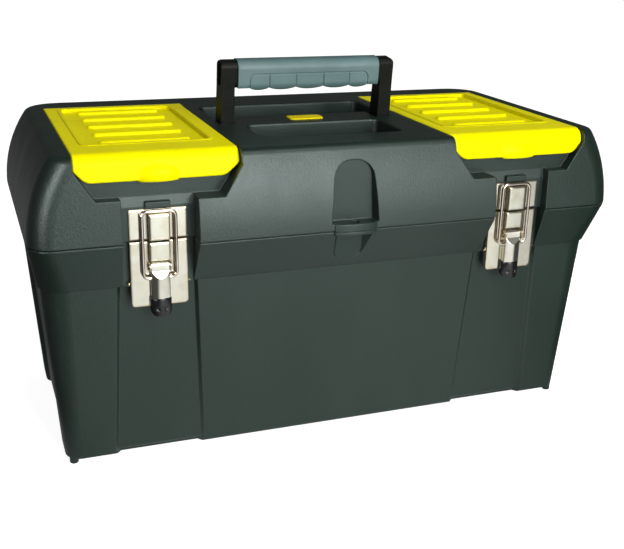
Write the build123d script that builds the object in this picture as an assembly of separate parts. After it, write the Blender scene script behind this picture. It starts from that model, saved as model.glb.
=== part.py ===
from build123d import *
import os
from math import cos, radians, sin, sqrt, tan

# Plastic tool case with organiser wells in its lid, a folding handle and two draw latches.
# Millimetres: X along the length, the front faces -Y, Z up, origin on the floor under the middle.

# Overall form
case_length = 490
case_depth = 262
parting_height = 188
lid_height = 66
wall = 2.8
parting_gap = 0.3
corner_radius = 34
front_lean = 13.1
end_setback = 11
end_front_lean = 2.5
end_corner_radius = 18
end_lean = 20.8
shoulder_radius = 7
rim_chamfer = 0.8
running_gap = 0.05
seat_gap = 0.3

# Tub
end_overhang = 19
front_overhang = 36
foot_height = 4
foot_radius = 3.5
foot_inset = 6
draft = 4.1
base_corner = 12
neck_corner = 20
base_round = 3
floor_thickness = 3
rim_height = 36
rim_step = 2
ledge_drop = 30
panel_relief = 3
panel_slope = 40
channel_lift = 2.5
channel_neck_half = 29.5
channel_base_half = 36.5
corner_post = 32

# Rear hinge
hinge_end_margin = 105
hinge_width = 60
lid_knuckle_width = 24
knuckle_radius = 4
hinge_pin_radius = 1.5
knuckle_gap = 0.4
hinge_setback = 0.5

# Handle
handle_width = 153
cap_width = 14
leg_width = 11.5
handle_side_gap = 1
handle_pivot_place = -6.5
handle_pivot_drop = 12
handle_lean = 6
handle_rise = 63.5
leg_end_radius = 9.5
leg_depth = 15.5
cap_height = 22.5
cap_round = 5.5
handle_corner = 4
cap_hollow = 4
cap_wall = 2
core_size = 11
grip_depth = 19
grip_proud = 0.6
grip_round = 7
lobe_shares = (0.161, 0.223, 0.232, 0.223, 0.161)
lobe_sag = 2.4
groove_width = 0.9
groove_depth = 0.6
groove_drop = 10
groove_turn = 5
handle_stub_radius = 4
handle_stub_length = 4

# Organiser covers and their wells
cover_handle_gap = 12.2
cover_end_margin = 35
cover_front_margin = 17.7
cover_rear_margin = 46
cover_thickness = 3
cover_proud = 0.5
cover_gap = 0.4
cover_swing_room = 1
cover_edge = 1.2
cover_corner = 5
skirt_lean = 2.9
skirt_drop = 20
skirt_round = 9
skirt_corner = 11
skirt_inner_taper = 11
skirt_outer_taper = 8
skirt_knee = 11
cover_barrel_radius = 3.2
stub_radius = 1.9
stub_length = 4
panel_side_margin = 12.9
panel_front_margin = 35.3
panel_rear_margin = 13
panel_depth = 2.5
rib_count = 5
rib_end_margin = 12.8
rib_side_margin = 12.8
rib_width = 7
bump_width = 28
bump_height = 13
bump_rise = 2.4
bump_swell = 10
seat_ledge = 5
well_depth = 36
pocket_drop = 32.7
pocket_taper = 14.2
divider_thickness = 2
divider_drop = 8
divider_place = -20

# Deck recesses and badge
front_recess_margin = 48
front_recess_depth = 18
front_recess_side = 4
bridge_front = 28
bridge_rear = 8
recess_room = 6.5
recess_floor_room = 6.5
recess_corner = 7
recess_edge = 1.5
badge_length = 30
badge_depth = 15
badge_thickness = 1

# Padlock eye
niche_base_half = 17.5
niche_top_half = 15
niche_crown_radius = 13.5
niche_top_drop = 12
niche_depth = 10
niche_flare = 12
eye_thickness = 5.8
tub_eye_thickness = 2.8
eye_radius = 4.2
eye_setback = 3.7
eye_proud = 3.5
eye_end_proud = 0.8
groove_top_half = 10
groove_foot_half = 11.5
groove_flare = 35
groove_lift = 8
groove_corner = 8

# Draw latches
latch_offset = 1.35
latch_setback = 20
latch_pocket_width = 54.8
latch_slope_drop = 7.3
organiser_step = 2
pad_depth = 4
sheet = 1.2
plate_width = 43.4
plate_gap = 1.2
keeper_height = 22.8
tongue_width = 15.6
tongue_rise = 6
hump_rise = 4.5
base_height = 51
plate_corner = 3
pad_width = 38
return_depth = 3.4
hump_height = 14.6
barb_size = 2.5
barb_lift = 17
hood_width = 18.6
hood_height = 4.6
hood_depth = 3
lever_width = 13.6
lever_gap = 0.3
lever_depth = 6
pivot_drop = 19
lever_end_radius = 2.8
lever_reach = 25
ear_radius = 3.4
lever_pin_radius = 1.2
tip_width = 16
tip_length = 14
tip_round = 5
tang_width = 8
tang_length = 9
wire = 2.8
bail_width = 28
bail_drop = 1
lever_throw = 9
bail_bend = 4.5

# Tray
tray_end_room = 61
tray_depth = 42
tray_side_gap = 0.7
tray_body_gap = 2.2
tray_rim_thickness = 3
tray_rim_width = 6
tray_wall = 2
tray_corner = 7
tray_handle_share = 0.45
tray_handle_rise = 8
tray_handle_thickness = 8
tray_post = 25
tray_window_height = 22
tray_window_drop = 12

# Heights and places worked out from the sizes above
far = case_length
deck_height = parting_height + lid_height
above = deck_height + lid_height
neck_height = parting_height - rim_height
ledge_height = parting_height - ledge_drop
tub_top = parting_height - parting_gap / 2
lid_bottom = parting_height + parting_gap / 2
base_length = case_length - 2 * end_overhang
base_depth = case_depth - 2 * front_overhang
hinge_spacing = case_length - 2 * hinge_end_margin
hinge_place = case_depth / 2 + hinge_setback
handle_half_width = handle_width / 2
cap_inner = handle_half_width - cap_width
leg_inner = handle_half_width - leg_width
slot_outer = handle_half_width + handle_side_gap
slot_inner = leg_inner - handle_side_gap
handle_pivot_height = deck_height - handle_pivot_drop
grip_middle = handle_rise - cap_height / 2
cover_inner = handle_half_width + cover_handle_gap
cover_outer = case_length / 2 - cover_end_margin
cover_centre = (cover_inner + cover_outer) / 2
cover_front = case_depth / 2 - cover_front_margin
cover_rear = case_depth / 2 - cover_rear_margin
cover_top = deck_height + cover_proud
cover_under = cover_top - cover_thickness
cover_seat = cover_under - seat_gap
cover_hinge_place = cover_rear - cover_barrel_radius
cover_hinge_height = cover_top - cover_barrel_radius
panel_top = cover_top - panel_depth
well_floor = deck_height - well_depth
pocket_ledge = deck_height - pocket_drop
latch_centre = cover_centre + latch_offset
latch_face = case_depth / 2 - latch_setback
organiser_face = latch_face - organiser_step
tub_pocket_face = latch_face - pad_depth
plate_front = latch_face + sheet
keeper_base = parting_height + plate_gap
keeper_top = keeper_base + keeper_height
base_top = parting_height - plate_gap / 2
base_bottom = base_top - base_height
bail_top = keeper_top - bail_drop
tongue_top = bail_top - wire / 2 - seat_gap
lever_front = plate_front + lever_gap + lever_depth
lever_pivot_place = plate_front + lever_gap + lever_end_radius
lever_pivot_height = base_top - pivot_drop
lever_low = lever_pivot_height - lever_reach
tip_low = lever_low - tip_length
bail_place = lever_pivot_place
bail_attach_height = lever_pivot_height - lever_throw
niche_back = case_depth / 2 - niche_depth
eye_place = case_depth / 2 - eye_setback
tray_half_length = base_length / 2 - tray_end_room
tray_floor_height = ledge_height - tray_depth
tray_handle_top = parting_height + tray_handle_rise
sides = {"left": -1, "right": 1}


def block(x, y, z, grow=0):
    """Box spanning three (low, high) ranges, grown on every side."""
    spans = (x, y, z)
    centre = [(low + high) / 2 for low, high in spans]
    size = [high - low + 2 * grow for low, high in spans]
    return Pos(*centre) * Box(*size)


def rounded_block(x, y, z, radius, grow=0):
    """Box with rounded upright edges."""
    outline = RectangleRounded(x[1] - x[0] + 2 * grow, y[1] - y[0] + 2 * grow, radius + grow)
    placed = Pos((x[0] + x[1]) / 2, (y[0] + y[1]) / 2, z[0] - grow) * outline
    return extrude(placed, z[1] - z[0] + 2 * grow)


def rod(x, y, z, radius):
    """Round bar along X between two ends."""
    bar = Cylinder(radius, x[1] - x[0], rotation=(0, 90, 0))
    return Pos((x[0] + x[1]) / 2, y, z) * bar


def front_prism(outline, front, back):
    """Outline seen from the front, run through between two depths."""
    placed = Pos(0, front, 0) * (Plane.XZ * outline)
    return extrude(placed, back - front, dir=(0, 1, 0))


def side_prism(outline, left, right):
    """Outline seen from the end, run along X between two places."""
    placed = Pos(left, 0, 0) * (Plane.YZ * outline)
    return extrude(placed, right - left, dir=(1, 0, 0))


def both_sides(shape):
    """A shape made for the right-hand side, with its mirror image."""
    return [shape, mirror(shape, about=Plane.YZ)]


def crossed(front_outline, end_outline):
    """Solid with one outline across the depth and another along the length."""
    return side_prism(front_outline, -far, far) & front_prism(end_outline, -far, far)


def round_corners(solid, front_radius, rear_radius):
    """Round the corner edges that run from the bottom to the top."""
    for side, radius in ((-1, front_radius), (1, rear_radius)):
        upright = [edge for edge in solid.edges() if edge.bounding_box().size.Z > wall]
        solid = fillet([edge for edge in upright if side * edge.center().Y > 0], radius)
    return solid


def tub_half_depth(height):
    """Half depth of the tub's outer face at a height."""
    return base_depth / 2 + tan(radians(draft)) * (height - foot_height)


def tub_half_length(height):
    """Half length of the tub's outer face at a height."""
    return base_length / 2 + tan(radians(draft)) * (height - foot_height)


def tub_form(inset, bottom, top):
    """Drafted tub form between two heights, inset evenly from the outer faces."""

    def outline(height):
        share = (height - foot_height) / (neck_height - foot_height)
        corner = base_corner + (neck_corner - base_corner) * share - inset
        length = 2 * (tub_half_length(height) - inset)
        depth = 2 * (tub_half_depth(height) - inset)
        return Pos(0, 0, height) * RectangleRounded(length, depth, corner)

    form = loft([outline(bottom), outline(top)], ruled=True)
    return fillet(form.faces().sort_by(Axis.Z)[0].edges(), base_round)


def wall_plane(reach, end_wall):
    """Plane on a drafted wall at the neck, facing inwards, with its second axis down the wall."""
    slope = radians(draft)
    if end_wall:
        return Plane((reach, 0, neck_height), x_dir=(0, 1, 0), z_dir=(-cos(slope), 0, sin(slope)))
    return Plane((0, -reach, neck_height), x_dir=(1, 0, 0), z_dir=(0, cos(slope), sin(slope)))


def channel(middle, neck_half, base_half, plane):
    """Sunk channel down a wall: wider outside than inside, so that its edges slope."""
    drop = neck_height - foot_height
    past = rim_height
    low_half = base_half + (base_half - neck_half) * past / drop
    corners = [
        (middle - neck_half, -past),
        (middle + neck_half, -past),
        (middle + low_half, drop + past),
        (middle - low_half, drop + past),
    ]
    outline = make_face(Polyline(*corners, close=True))
    return extrude(plane * outline, 2 * panel_relief, taper=panel_slope)


def tub_channels():
    """Latch channels at the front and back, and one wide channel on each end."""
    front = wall_plane(tub_half_depth(neck_height), end_wall=False)
    end = wall_plane(tub_half_length(neck_height), end_wall=True)
    sunk = both_sides(channel(latch_centre, channel_neck_half, channel_base_half, front))
    sunk += [mirror(cut, about=Plane.XZ) for cut in sunk]
    neck_half = tub_half_depth(neck_height) - corner_post
    base_half = base_depth / 2 - corner_post
    return sunk + both_sides(channel(0, neck_half, base_half, end))


def rim_half(outer_top, outer_neck, height, inset):
    """Half width of the flared rim at a height."""
    flare = (outer_top - outer_neck - rim_step) / rim_height
    return outer_top - flare * (parting_height - height) - inset


def parted(middle, ends):
    """Form that is one solid between the latches and another outboard of them."""
    between = block((-latch_centre, latch_centre), (-far, far), (-far, far))
    return (middle & between) + (ends - between)


def rim_outline(height, inset, setback):
    """Rounded outline of the rim at a height; its corners open out upwards."""
    length = 2 * rim_half(case_length / 2, tub_half_length(neck_height), height, inset)
    rear = rim_half(case_depth / 2, tub_half_depth(neck_height), height, inset)
    front = rim_half(case_depth / 2 - setback, tub_half_depth(neck_height), height, inset)
    low_corner = neck_corner + rim_step
    share = (height - neck_height) / rim_height
    outline = Pos(0, (rear - front) / 2) * Rectangle(length, front + rear)
    front_corner = end_corner_radius if setback else corner_radius
    for side, top_corner in ((1, front_corner), (-1, corner_radius)):
        ends = outline.vertices().sort_by(Axis.Y)[::side][:2]
        outline = fillet(ends, low_corner + (top_corner - low_corner) * share - inset)
    return Pos(0, 0, height) * outline


def rim_form(inset, bottom, top, top_inset):
    """Flared rim between two heights, inset at each, with a front that is set back at the ends."""

    def flared(setback):
        outlines = [rim_outline(bottom, inset, setback), rim_outline(top, top_inset, setback)]
        return loft(outlines, ruled=True)

    return parted(flared(0), flared(end_setback))


def rim_outer():
    """Outside of the rim, with its top edge taken off at the parting line."""
    shoulder = tub_top - rim_chamfer
    return rim_form(0, neck_height, shoulder, 0) + rim_form(0, shoulder, tub_top, rim_chamfer)


def knuckle_spans(side):
    """X ranges of one hinge: the lid's knuckle, then the tub's two."""
    middle = side * hinge_spacing / 2
    half = hinge_width / 2
    inner = lid_knuckle_width / 2
    lid = (middle - inner, middle + inner)
    tub = [(middle - half, middle - inner - knuckle_gap), (middle + inner + knuckle_gap, middle + half)]
    return lid, tub


def knuckle(span, radius):
    """Round of a hinge knuckle, or of the notch around one."""
    return rod(span, hinge_place, parting_height, radius)


def widened(span):
    """A knuckle's span with running room at both ends."""
    return span[0] - knuckle_gap, span[1] + knuckle_gap


def tub_hinge(shape):
    """Add the tub's knuckles and cut the notches for the lid's."""
    for side in sides.values():
        lid_span, tub_spans = knuckle_spans(side)
        shape -= knuckle(widened(lid_span), knuckle_radius + knuckle_gap)
        for span in tub_spans:
            shape += knuckle(span, knuckle_radius)
            shape -= knuckle(widened(span), hinge_pin_radius + running_gap)
    return shape


def lid_hinge(shape):
    """Add the lid's knuckles and cut the notches for the tub's."""
    for side in sides.values():
        lid_span, tub_spans = knuckle_spans(side)
        for span in tub_spans:
            shape -= knuckle(widened(span), knuckle_radius + knuckle_gap)
        shape += knuckle(lid_span, knuckle_radius)
        shape -= knuckle(widened(lid_span), hinge_pin_radius + running_gap)
    return shape


def hinge_pin(side):
    """Steel pin through one rear hinge."""
    middle = side * hinge_spacing / 2
    return knuckle((middle - hinge_width / 2, middle + hinge_width / 2), hinge_pin_radius)


def groove_plane():
    """Leaning floor of the padlock groove, with its origin at the foot, and the floor's length."""
    foot = neck_height + groove_lift
    place = rim_half(case_depth / 2, tub_half_depth(neck_height), foot, 0)
    rise = parting_height - foot
    reach = sqrt(rise**2 + (niche_back - place) ** 2)
    outward = (0, -rise / reach, (place - niche_back) / reach)
    return Plane((0, -place, foot), x_dir=(1, 0, 0), z_dir=outward), reach


def padlock_groove():
    """Groove in the tub's rim under the eye, with sides that open outwards, and the wall behind it."""
    plane, reach = groove_plane()
    low = groove_foot_half
    high = groove_top_half
    floor = Polygon((-low, 0), (low, 0), (high, reach), (-high, reach))
    floor = fillet(floor.vertices().sort_by(Axis.Y)[:2], groove_corner)
    void = extrude(plane * floor, 2 * niche_depth, taper=-groove_flare)
    void &= block((-far, far), (-far, far), (neck_height, tub_top - tub_eye_thickness))
    foot = plane.origin
    section = Polygon(
        (-far, foot.Z - wall),
        (foot.Y + wall, foot.Z - wall),
        (wall - niche_back, parting_height),
        (-far, parting_height),
    )
    side = niche_base_half + wall
    return void, side_prism(section, -side, side)


def eye_lug(bottom, thickness):
    """Padlock eye: a ledge across the niche whose front stands proud in a shallow arc."""
    half = niche_base_half
    end = case_depth / 2 + eye_end_proud
    arc = ThreePointArc((-half, -end), (0, -case_depth / 2 - eye_proud), (half, -end))
    back = Polyline((half, -end), (half, -niche_back), (-half, -niche_back), (-half, -end))
    return extrude(Pos(0, 0, bottom) * make_face([arc, back]), thickness) - eye_hole()


def eye_hole():
    """Upright hole for a padlock's shackle, through both eyes."""
    return Pos(0, -eye_place, parting_height) * Cylinder(eye_radius, 4 * eye_thickness)


def tub_openings():
    """Voids cut into the tub's rim, with the walls that stand behind them."""
    pocket_x = (latch_centre - latch_pocket_width / 2, latch_centre + latch_pocket_width / 2)
    pocket = (pocket_x, (-far, -tub_pocket_face), (neck_height - panel_relief, above))
    groove, groove_wall = padlock_groove()
    voids = both_sides(block(*pocket)) + [groove]
    walls = both_sides(block(*pocket, grow=wall)) + [groove_wall]
    return voids, walls


def latch_pads():
    """Bosses that carry the latches' base plates."""
    seat = tub_half_depth(base_bottom) - panel_relief - wall / 2
    x = (latch_centre - pad_width / 2, latch_centre + pad_width / 2)
    lower = block(x, (-latch_face, -seat), (base_bottom + sheet, neck_height))
    upper = block(x, (-latch_face, wall / 2 - tub_pocket_face), (neck_height, base_top))
    return both_sides(lower + upper)


def feet():
    """Moulded nubs under the four corners."""
    x = base_length / 2 - foot_inset
    y = base_depth / 2 - foot_inset
    height = foot_height + base_round
    nub = Cylinder(foot_radius, height, align=(Align.CENTER, Align.CENTER, Align.MIN))
    nub = fillet(nub.faces().sort_by(Axis.Z)[0].edges(), foot_radius / 3)
    return [Pos(i * x, j * y, 0) * nub for i in (-1, 1) for j in (-1, 1)]


def tub():
    """Deep body: panelled walls, flared rim, latch pads, padlock eye, hinge knuckles and feet."""
    merge = neck_height + base_round
    outer = tub_form(0, foot_height, merge)
    for cut in tub_channels():
        outer -= cut
    outer += tub_form(panel_relief, foot_height + channel_lift, merge)
    outer += rim_outer()
    cavity = tub_form(panel_relief + wall, foot_height + floor_thickness + channel_lift, ledge_height)
    inset = wall * sqrt(2)
    rim_cavity = rim_form(inset, ledge_height, parting_height + wall, inset)
    voids, walls = tub_openings()
    for kept in walls:
        rim_cavity -= kept
    shape = outer - cavity - rim_cavity
    for cut in voids:
        shape -= cut
    for added in latch_pads() + feet():
        shape += added
    shape -= eye_hole()
    return tub_hinge(shape + eye_lug(tub_top - tub_eye_thickness, tub_eye_thickness))


def bulge_radius(lean):
    """Radius of a side that is upright at the parting line and leans in this far at the deck."""
    return (lid_height**2 + lean**2) / (2 * lean)


def bulged_outline(half, bulge, bottom, top):
    """Symmetric outline whose sides are arcs, upright at the parting line."""

    def edge_at(height):
        return half - bulge + sqrt(bulge**2 - (height - parting_height) ** 2)

    middle = (bottom + top) / 2
    marks = [(edge_at(height), height) for height in (bottom, middle, top)]
    right = ThreePointArc(*marks)
    left = ThreePointArc(*[(-x, height) for x, height in marks])
    return make_face([right, Line(right @ 1, left @ 1), left, Line(left @ 0, right @ 0)])


def lid_form(inset, bottom, edge=0):
    """Barrel-sided lid form, inset evenly from its outer faces, with an upright front at its ends."""
    top = deck_height - inset
    bulged = bulged_outline(case_depth / 2 - inset, bulge_radius(front_lean) - inset, bottom, top)
    low, high = [
        end_setback + inset - case_depth / 2 + end_front_lean * (height - parting_height) / lid_height
        for height in (0, above)
    ]
    upright = bulged & Polygon((low, 0), (far, 0), (far, above), (high, above))
    end = bulged_outline(case_length / 2 - inset, bulge_radius(end_lean) - inset, bottom, top)

    def softened(front, front_corner):
        form = round_corners(crossed(front, end), front_corner - inset, corner_radius - inset)
        form = fillet(form.faces().sort_by(Axis.Z)[-1].edges(), shoulder_radius - inset)
        return chamfer(form.faces().sort_by(Axis.Z)[0].edges(), edge) if edge else form

    return parted(softened(bulged, corner_radius), softened(upright, end_corner_radius))


def front_pocket_outline():
    """Opening in the lid's front under a cover's skirt, narrower at its ledge."""
    low = (cover_inner + pocket_taper, cover_outer - pocket_taper)
    high = (cover_inner - cover_gap, cover_outer + cover_gap)
    knee = cover_top - skirt_knee
    return Polygon(
        (low[0], pocket_ledge),
        (low[1], pocket_ledge),
        (high[1], knee),
        (high[1], above),
        (high[0], above),
        (high[0], knee),
    )


def organiser():
    """One organiser: its voids in the lid, and the walls that stand around them."""
    mouth = (cover_inner - cover_gap, cover_outer + cover_gap)
    inside = (cover_inner + seat_ledge, cover_outer - seat_ledge)
    barrel = cover_barrel_radius + cover_gap
    back = cover_hinge_place + barrel + cover_swing_room
    well = (inside, (wall - organiser_face, cover_hinge_place - barrel - wall), (well_floor, above))
    rebate = (mouth, (-organiser_face, back), (cover_seat, above))
    lip_height = cover_seat - skirt_round / 4
    lip = (mouth, (-organiser_face, wall - organiser_face), (lip_height, above))
    gutter = (mouth, (cover_hinge_place - barrel, back), (cover_hinge_height - barrel, above))
    outline = front_pocket_outline()
    stub_ends = (cover_inner - stub_length - cover_gap, cover_outer + stub_length + cover_gap)
    voids = [block(*well), block(*rebate), block(*lip), block(*gutter)]
    voids.append(front_prism(outline, -far, -organiser_face))
    voids.append(rod(stub_ends, cover_hinge_place, cover_hinge_height, stub_radius + running_gap))
    walls = [block(*well, grow=wall), block(*rebate, grow=wall), block(*gutter, grow=wall)]
    walls.append(front_prism(offset(outline, wall), -far, wall - organiser_face))
    boss = stub_radius + wall
    boss_y = (cover_hinge_place - boss, cover_hinge_place + boss)
    boss_x = (stub_ends[0] - wall, stub_ends[1] + wall)
    walls.append(block(boss_x, boss_y, (cover_hinge_height - boss, above)))
    return voids, walls


def dividers():
    """Ribs that split an organiser well into three compartments."""
    top = panel_top - cover_thickness - divider_drop
    y = (wall - organiser_face, cover_hinge_place - cover_barrel_radius - wall)
    across = (divider_place - divider_thickness / 2, divider_place + divider_thickness / 2)
    along = (cover_centre - divider_thickness / 2, cover_centre + divider_thickness / 2)
    x = (cover_inner + seat_ledge, cover_outer - seat_ledge)
    z = (well_floor - wall / 2, top)
    return block(x, across, z) + block(along, (divider_place, y[1]), z)


def latch_pocket():
    """Latch pocket in the lid's front: its void, and the wall behind it."""
    outline = Polygon(
        (-far, neck_height),
        (-latch_face, neck_height),
        (-latch_face, pocket_ledge - latch_slope_drop),
        (-organiser_face, pocket_ledge),
        (-organiser_face, pocket_ledge + sheet),
        (-far, pocket_ledge + sheet),
    )
    left = latch_centre - latch_pocket_width / 2
    right = latch_centre + latch_pocket_width / 2
    void = side_prism(outline, left, right)
    kept = block((left, right), (-far, -latch_face), (neck_height, pocket_ledge), grow=wall)
    return void, kept


def hood():
    """Small moulded hood over a keeper's tongue."""
    x = (latch_centre - hood_width / 2, latch_centre + hood_width / 2)
    low = bail_top + wire / 2 + 2 * seat_gap
    return block(x, (-latch_face - hood_depth, wall / 2 - latch_face), (low, low + hood_height))


def deck_recesses():
    """Handle recess with its leg slots, and the open front recess, with their walls."""
    rear_z = (handle_pivot_height - grip_depth / 2 - recess_floor_room, above)
    rear_end = handle_pivot_place + handle_rise + recess_room
    rear = ((-slot_outer, slot_outer), (bridge_rear, rear_end), rear_z)
    slot_front = handle_pivot_place - leg_end_radius - handle_side_gap
    slot = ((slot_inner, slot_outer), (slot_front, bridge_rear + recess_corner), rear_z)
    front_y = (front_recess_margin - case_depth / 2, -bridge_front)
    half = slot_inner - front_recess_side
    front = ((-half, half), front_y, (deck_height - front_recess_depth, above))
    voids = [rounded_block(*rear, recess_corner), rounded_block(*front, recess_corner)]
    voids += both_sides(block(*slot))
    walls = [rounded_block(*rear, recess_corner, grow=wall), rounded_block(*front, recess_corner, grow=wall)]
    walls += both_sides(block(*slot, grow=wall))
    return voids, walls


def handle_sockets():
    """Blind holes for the handle's stubs, with the bosses around them."""
    depth = slot_outer + handle_stub_length
    hole = rod((slot_inner, depth), handle_pivot_place, handle_pivot_height, handle_stub_radius + running_gap)
    reach = handle_stub_radius + wall
    y = (handle_pivot_place - reach, handle_pivot_place + reach)
    boss = block((slot_outer, depth + wall), y, (handle_pivot_height - reach, above))
    return both_sides(hole), both_sides(boss)


def padlock_niche():
    """Round-topped niche in the lid's front above the eye, with its wall."""
    base = lid_bottom + eye_thickness
    crown = deck_height - niche_top_drop
    low = niche_base_half
    high = niche_top_half
    face = Polygon((-low, base), (low, base), (high, crown), (-high, crown))
    face = fillet(face.vertices().sort_by(Axis.Y)[2:], niche_crown_radius)
    void = extrude(Pos(0, -niche_back, 0) * (Plane.XZ * face), 2 * niche_depth, taper=-niche_flare)
    void &= block((-far, far), (-far, far), (base, above))
    return void, block((-low, low), (-far, -niche_back), (parting_height, crown), grow=wall)


def in_deck_recess(edge):
    """Whether an edge of the deck belongs to one of its recesses."""
    middle = edge.center()
    reach = case_depth / 2 - front_recess_margin + seat_gap
    return abs(middle.X) < slot_outer + seat_gap and abs(middle.Y) < reach


def lid_outer():
    """Lid form with the deck recesses and the niche sunk in it and their edges softened."""
    outer = lid_form(0, lid_bottom, rim_chamfer)
    for void in deck_recesses()[0]:
        outer -= void
    deck = outer.edges().filter_by_position(Axis.Z, deck_height - seat_gap, deck_height + seat_gap)
    outer = fillet([edge for edge in deck if in_deck_recess(edge)], recess_edge)
    return outer - padlock_niche()[0]


def lid_shell():
    """Lid moulding: barrel shell, organiser wells, deck recesses, padlock niche and latch pockets."""
    cavity = lid_form(wall, neck_height)
    walls = deck_recesses()[1] + [padlock_niche()[1]]
    voids, bosses = handle_sockets()
    walls += bosses
    organiser_voids, organiser_walls = organiser()
    pocket, pocket_wall = latch_pocket()
    for void in organiser_voids + [pocket]:
        voids += both_sides(void)
    for kept in organiser_walls + [pocket_wall]:
        walls += both_sides(kept)
    for kept in walls:
        cavity -= kept
    shape = lid_outer() - cavity - eye_hole()
    for void in voids:
        shape -= void
    for added in both_sides(dividers()) + both_sides(hood()):
        shape += added
    return lid_hinge(shape + eye_lug(lid_bottom, eye_thickness))


def skirt_profile(inset):
    """Cover seen from its end, filled in: flat top, rounded front and hanging skirt."""
    low = cover_top - skirt_drop
    top = cover_top - inset
    front = inset - cover_front
    line = FilletPolyline(
        (cover_hinge_place, top), (front, top), (front - skirt_lean, low), radius=skirt_round - inset
    )
    close = Polyline((front - skirt_lean, low), (cover_hinge_place, low), (cover_hinge_place, top))
    return make_face([line, close])


def on_cover_rim(edge):
    """Whether an edge of the filled-in cover runs along its outer skin's border."""
    middle = edge.center()
    size = edge.bounding_box().size
    low = cover_top - skirt_drop
    on_top = middle.Z > cover_top - seat_gap and size.X < seat_gap
    on_front = middle.Y < skirt_round - cover_front and middle.Z > low - seat_gap
    across = size.Y > cover_rear or size.X > cover_inner
    skirt_foot = middle.Y < -cover_front - skirt_lean / 2 and middle.Z < low + seat_gap
    return on_top or (on_front and not across) or skirt_foot


def skirt_outline():
    """Cover seen from the front: full width at the deck, drawn in and rounded along the skirt."""
    low = cover_top - skirt_drop
    knee = cover_top - skirt_knee
    face = Polygon(
        (cover_inner + skirt_inner_taper, low),
        (cover_outer - skirt_outer_taper, low),
        (cover_outer, knee),
        (cover_outer, above),
        (cover_inner, above),
        (cover_inner, knee),
    )
    return fillet(face.vertices().sort_by(Axis.Y)[:2], skirt_corner)


def cover_ribs():
    """Raised ribs across the cover's sunk panel."""
    margin = panel_side_margin + rib_side_margin
    x = (cover_inner + margin, cover_outer - margin)
    first = panel_front_margin + rib_end_margin - cover_front
    last = cover_rear - panel_rear_margin - rib_end_margin
    ribs = []
    for index in range(rib_count):
        middle = first + (last - first) * index / (rib_count - 1)
        y = (middle - rib_width / 2, middle + rib_width / 2)
        rib = rounded_block(x, y, (panel_top - sheet, cover_top), rib_width / 2.2)
        ribs.append(fillet(rib.faces().sort_by(Axis.Z)[-1].edges(), panel_depth * 0.8))
    return ribs


def thumb_bump():
    """Shallow dome low on the skirt, the cap of a deeper one so that it meets the skirt softly."""
    share = sqrt(1 - (1 - bump_rise / bump_swell) ** 2)
    dome = scale(Sphere(1), by=(bump_width / 2 / share, bump_swell, bump_height / 2 / share))
    low = cover_top - skirt_drop
    skirt_front = -cover_front - skirt_lean
    outside = (-far, skirt_front + cover_thickness / 2)
    placed = Pos(cover_centre, skirt_front + bump_swell - bump_rise, low + bump_height / 4) * dome
    return placed & block((-far, far), outside, (low - bump_rise / 2, above))


def cover():
    """Right-hand organiser cover: skirted plate, sunk ribbed panel, hinge barrel and stubs."""
    shape = side_prism(skirt_profile(0), cover_inner, cover_outer)
    shape &= front_prism(skirt_outline(), -far, far)
    rim = [edge for edge in shape.edges() if on_cover_rim(edge)]
    shape = fillet(rim, cover_edge)
    shape -= side_prism(skirt_profile(cover_thickness), -far, far)
    panel_x = (cover_inner + panel_side_margin, cover_outer - panel_side_margin)
    panel_y = (panel_front_margin - cover_front, cover_rear - panel_rear_margin)
    shape += rounded_block(panel_x, panel_y, (panel_top, panel_top), cover_corner, grow=cover_thickness)
    shape -= rounded_block(panel_x, panel_y, (panel_top, above), cover_corner)
    for added in cover_ribs() + [thumb_bump()]:
        shape += added
    shape += rod((cover_inner, cover_outer), cover_hinge_place, cover_hinge_height, cover_barrel_radius)
    stub_ends = (cover_inner - stub_length, cover_outer + stub_length)
    return shape + rod(stub_ends, cover_hinge_place, cover_hinge_height, stub_radius)


def leaned(shape):
    """Handle piece made upright about its pivot, tilted forward and put in place."""
    return Pos(0, handle_pivot_place, handle_pivot_height) * Rot(handle_lean, 0, 0) * shape


def handle_leg():
    """Right-hand leg: rounded pivot end, straight shank and a hollow-sided cap."""
    half = leg_depth / 2
    cap_low = handle_rise - cap_height
    shank = Polygon((-leg_end_radius, 0), (leg_end_radius, 0), (half, cap_low), (half, grip_middle),
                    (-half, grip_middle), (-half, cap_low))
    leg = side_prism(Circle(leg_end_radius) + shank, leg_inner, handle_half_width)
    top = Pos(0, grip_middle) * RectangleRounded(leg_depth, cap_height, cap_round)
    leg += side_prism(top, cap_inner, handle_half_width)
    hollow = RectangleRounded(leg_depth - 2 * cap_wall, cap_height - 2 * cap_wall, cap_round - cap_wall)
    hollow = Pos(0, grip_middle) * hollow
    leg -= side_prism(hollow, handle_half_width - cap_hollow, far)
    end = handle_half_width
    bow = Polygon((0, -leg_end_radius), (end, -leg_end_radius), (end, handle_rise), (0, handle_rise))
    corner = bow.vertices().sort_by(Axis.Y)[2:].sort_by(Axis.X)[-1]
    return leg & front_prism(fillet(corner, handle_corner), -far, far)


def handle_frame():
    """Handle legs with their stubs, and the bar inside the grip."""
    frame = side_prism(Pos(0, grip_middle) * Rectangle(core_size, core_size), -cap_inner, cap_inner)
    stub = rod((leg_inner, slot_outer + handle_stub_length - seat_gap), 0, 0, handle_stub_radius)
    for piece in both_sides(handle_leg()) + both_sides(stub):
        frame += piece
    return leaned(frame)


def lobe_marks():
    """X places where the grip's finger lobes begin and end."""
    span = 2 * cap_inner - 2 * groove_drop
    marks = [-span / 2]
    for share in lobe_shares:
        marks.append(marks[-1] + span * share)
    return marks


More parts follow.
